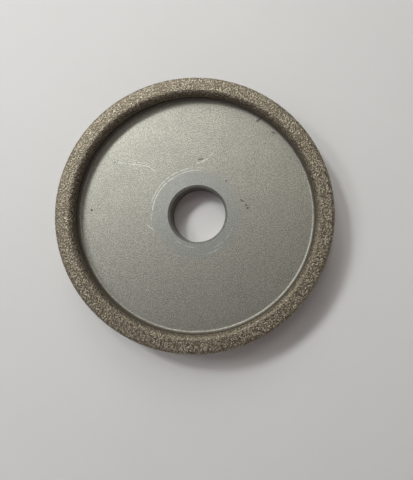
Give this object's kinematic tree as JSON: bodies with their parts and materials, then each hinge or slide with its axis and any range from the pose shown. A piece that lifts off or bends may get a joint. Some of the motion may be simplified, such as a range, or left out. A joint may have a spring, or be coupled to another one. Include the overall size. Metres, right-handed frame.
{
  "type": "diamond grinding wheel",
  "caption": "Flat metal disc with a central bore, a recessed web and a raised, rounded continuous abrasive rim for grinding stone or glass.",
  "frame": {"origin": "centre of the bore at the flat back face, which the wheel lies on", "axes": "+Z along the wheel's axis out of the recessed front face; X and Y lie in the back face, and the wheel is the same all round"},
  "size_m": [0.1, 0.1, 0.012],
  "materials": {
    "core_steel": "matte turned steel with a very fine grain",
    "bond_metal": "dull dark bronze",
    "diamond_bond": "gritty khaki brown metal bond with diamond grains"
  },
  "bodies": {
    "root": {"wheel_core": "core_steel", "bond_ring": "bond_metal", "diamond_rim": "diamond_bond"}
  },
  "joints": []
}
